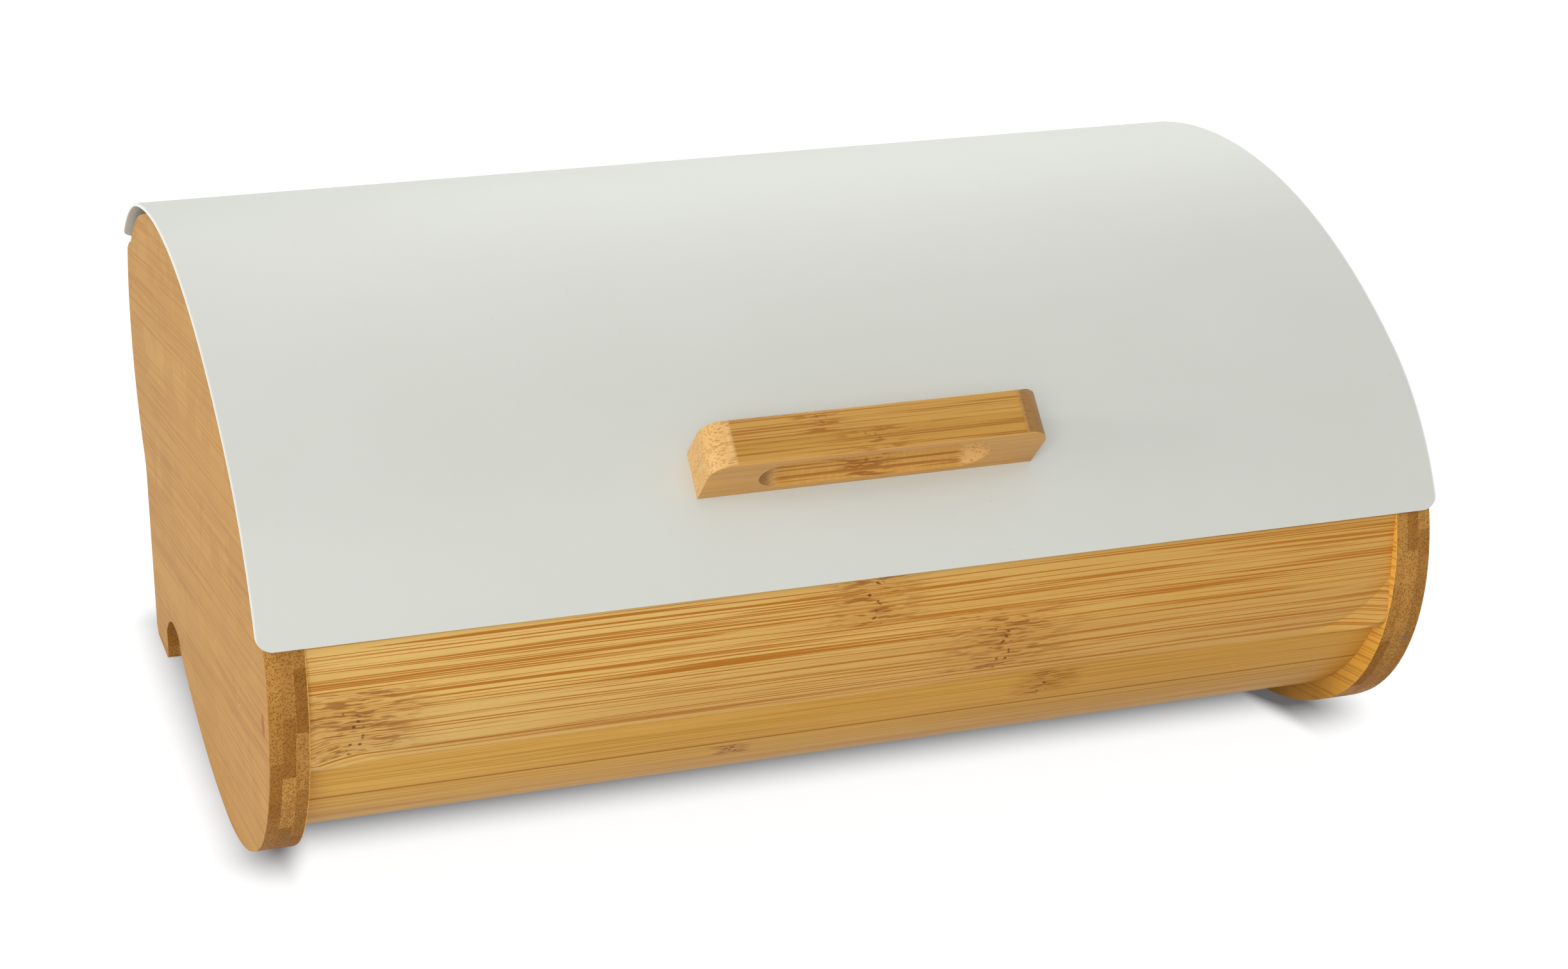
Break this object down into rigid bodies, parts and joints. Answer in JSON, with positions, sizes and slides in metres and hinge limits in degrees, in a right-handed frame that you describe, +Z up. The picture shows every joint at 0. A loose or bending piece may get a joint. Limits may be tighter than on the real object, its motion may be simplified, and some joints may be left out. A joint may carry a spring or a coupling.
{
  "type": "bread box",
  "caption": "Bread bin with a hinged lid of curved sheet steel, lobed bamboo side panels, a coved bamboo front and a grooved bamboo handle.",
  "frame": {"origin": "on the ground under the middle of the box, halfway between the noses of the side panels and their rearmost swell", "axes": "+X along the width and parallel to the lid's hinge, to the right as the front is faced; +Y from the front to the back; +Z up"},
  "size_m": [0.38, 0.272, 0.1794],
  "materials": {
    "bamboo_panel": "clear-lacquered bamboo ply, satin",
    "bamboo_front": "clear-lacquered laminated bamboo, satin",
    "bamboo_board": "bamboo ply, satin",
    "bamboo_handle": "clear-lacquered bamboo, satin",
    "bamboo_dowel": "plain bamboo rod",
    "enamel": "matt off-white powder coat",
    "steel": "zinc-plated steel",
    "brass": "plain turned brass",
    "nylon": "natural nylon"
  },
  "bodies": {
    "box": {"left_side_panel": "bamboo_panel", "right_side_panel": "bamboo_panel", "front_board": "bamboo_front", "upper_stave": "bamboo_front", "middle_stave": "bamboo_front", "lower_stave": "bamboo_front", "bottom_stave": "bamboo_front", "floor_board": "bamboo_board", "back_board": "bamboo_board", "joint_dowels": "bamboo_dowel", "pivot_inserts": "brass", "pivot_screws": "steel", "pivot_spacers": "nylon"},
    "lid": {"lid_sheet": "enamel", "left_hinge_ear": "steel", "right_hinge_ear": "steel", "handle": "bamboo_handle", "handle_screws": "steel", "handle_washers": "steel"}
  },
  "joints": [
    {"name": "lid_hinge", "type": "hinge", "parent": "box", "child": "lid", "pos_m": [0, 0.1068, 0.11197], "axis": [-1, 0, 0], "range_deg": [0, 95]}
  ]
}
